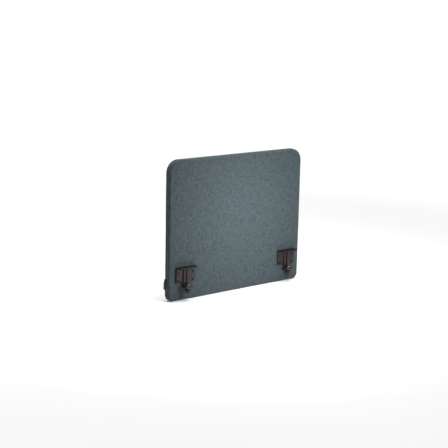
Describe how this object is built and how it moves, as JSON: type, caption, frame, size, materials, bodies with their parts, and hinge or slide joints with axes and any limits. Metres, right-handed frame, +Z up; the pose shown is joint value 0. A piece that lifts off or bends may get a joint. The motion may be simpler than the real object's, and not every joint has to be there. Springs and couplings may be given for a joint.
{
  "type": "desk privacy panel",
  "caption": "Fabric-covered acoustic screen with round corners and a zip-off cover, clamped to a desk edge by two screw clamps with sliding jaws.",
  "frame": {"origin": "centre of the panel's bottom edge, in the middle of its depth", "axes": "+X along the panel's width to the right as the clamps are seen, -Y the side that the clamps stand on, +Z up"},
  "size_m": [0.8104, 0.0778, 0.65],
  "materials": {
    "frame_wood": "matte",
    "core_board": "matte",
    "padding": "matte",
    "cover_cloth": "matte",
    "zip_cloth": "matte",
    "zip_plastic": "satin",
    "zip_black_metal": "satin",
    "bracket_paint": "satin",
    "black_screw": "satin",
    "zinc_steel": "satin",
    "bright_brass": "satin",
    "black_rubber": "matte",
    "knob_plastic": "satin"
  },
  "bodies": {
    "root": {"frame_top_rail": "frame_wood", "frame_bottom_rail": "frame_wood", "frame_left_stile": "frame_wood", "frame_right_stile": "frame_wood", "frame_corner_blocks": "frame_wood", "left_mounting_block": "frame_wood", "right_mounting_block": "frame_wood", "left_insert_nuts": "bright_brass", "right_insert_nuts": "bright_brass", "acoustic_core": "core_board", "front_padding": "padding", "rear_padding": "padding", "front_cover": "cover_cloth", "rear_cover": "cover_cloth", "bottom_gusset": "cover_cloth", "zip_tape": "zip_cloth", "zip_coil": "zip_plastic", "zip_end_stops": "zip_black_metal", "left_bracket_plate": "bracket_paint", "left_backing_pad": "black_rubber", "left_upper_jaw_pad": "black_rubber", "left_mounting_screws": "black_screw", "left_clamp_rail": "bracket_paint", "left_rail_screws": "zinc_steel", "left_rail_end_stop": "bracket_paint", "right_bracket_plate": "bracket_paint", "right_backing_pad": "black_rubber", "right_upper_jaw_pad": "black_rubber", "right_mounting_screws": "black_screw", "right_clamp_rail": "bracket_paint", "right_rail_screws": "zinc_steel", "right_rail_end_stop": "bracket_paint"},
    "zip_slider": {"zip_slider": "zip_black_metal"},
    "zip_pull": {"zip_pull": "zip_plastic"},
    "left_jaw": {"left_lower_jaw": "bracket_paint", "left_jaw_nut": "zinc_steel"},
    "left_foot": {"left_pressure_foot": "zinc_steel", "left_foot_pad": "black_rubber"},
    "left_screw": {"left_clamp_spindle": "zinc_steel", "left_clamp_knob": "knob_plastic"},
    "right_jaw": {"right_lower_jaw": "bracket_paint", "right_jaw_nut": "zinc_steel"},
    "right_foot": {"right_pressure_foot": "zinc_steel", "right_foot_pad": "black_rubber"},
    "right_screw": {"right_clamp_spindle": "zinc_steel", "right_clamp_knob": "knob_plastic"}
  },
  "joints": [
    {"name": "left_jaw_slide", "type": "slide", "parent": "root", "child": "left_jaw", "axis": [0, 0, 1], "range_m": [0, 0.055]},
    {"name": "left_foot_feed", "type": "slide", "parent": "left_jaw", "child": "left_foot", "axis": [0, 0, 1], "range_m": [0, 0.004]},
    {"name": "left_knob_turn", "type": "hinge", "parent": "left_foot", "child": "left_screw", "pos_m": [-0.31, -0.0465, 0.0455], "axis": [0, 0, 1], "range_deg": [0, 1152.01]},
    {"name": "right_jaw_slide", "type": "slide", "parent": "root", "child": "right_jaw", "axis": [0, 0, 1], "range_m": [0, 0.055]},
    {"name": "right_foot_feed", "type": "slide", "parent": "right_jaw", "child": "right_foot", "axis": [0, 0, 1], "range_m": [0, 0.004]},
    {"name": "right_knob_turn", "type": "hinge", "parent": "right_foot", "child": "right_screw", "pos_m": [0.31, -0.0465, 0.0455], "axis": [0, 0, 1], "range_deg": [0, 1152.01]},
    {"name": "zip_slide", "type": "slide", "parent": "root", "child": "zip_slider", "axis": [0, 0, 1], "range_m": [0, 0.48]},
    {"name": "pull_swing", "type": "hinge", "parent": "zip_slider", "child": "zip_pull", "pos_m": [-0.4074, 0.005, 0.102], "axis": [0, 1, 0], "range_deg": [0, 150]}
  ],
  "couplings": [
    {"joint": "left_knob_turn", "follows": "left_foot_feed", "rad_per_m": 5026.5},
    {"joint": "right_knob_turn", "follows": "right_foot_feed", "rad_per_m": 5026.5}
  ]
}
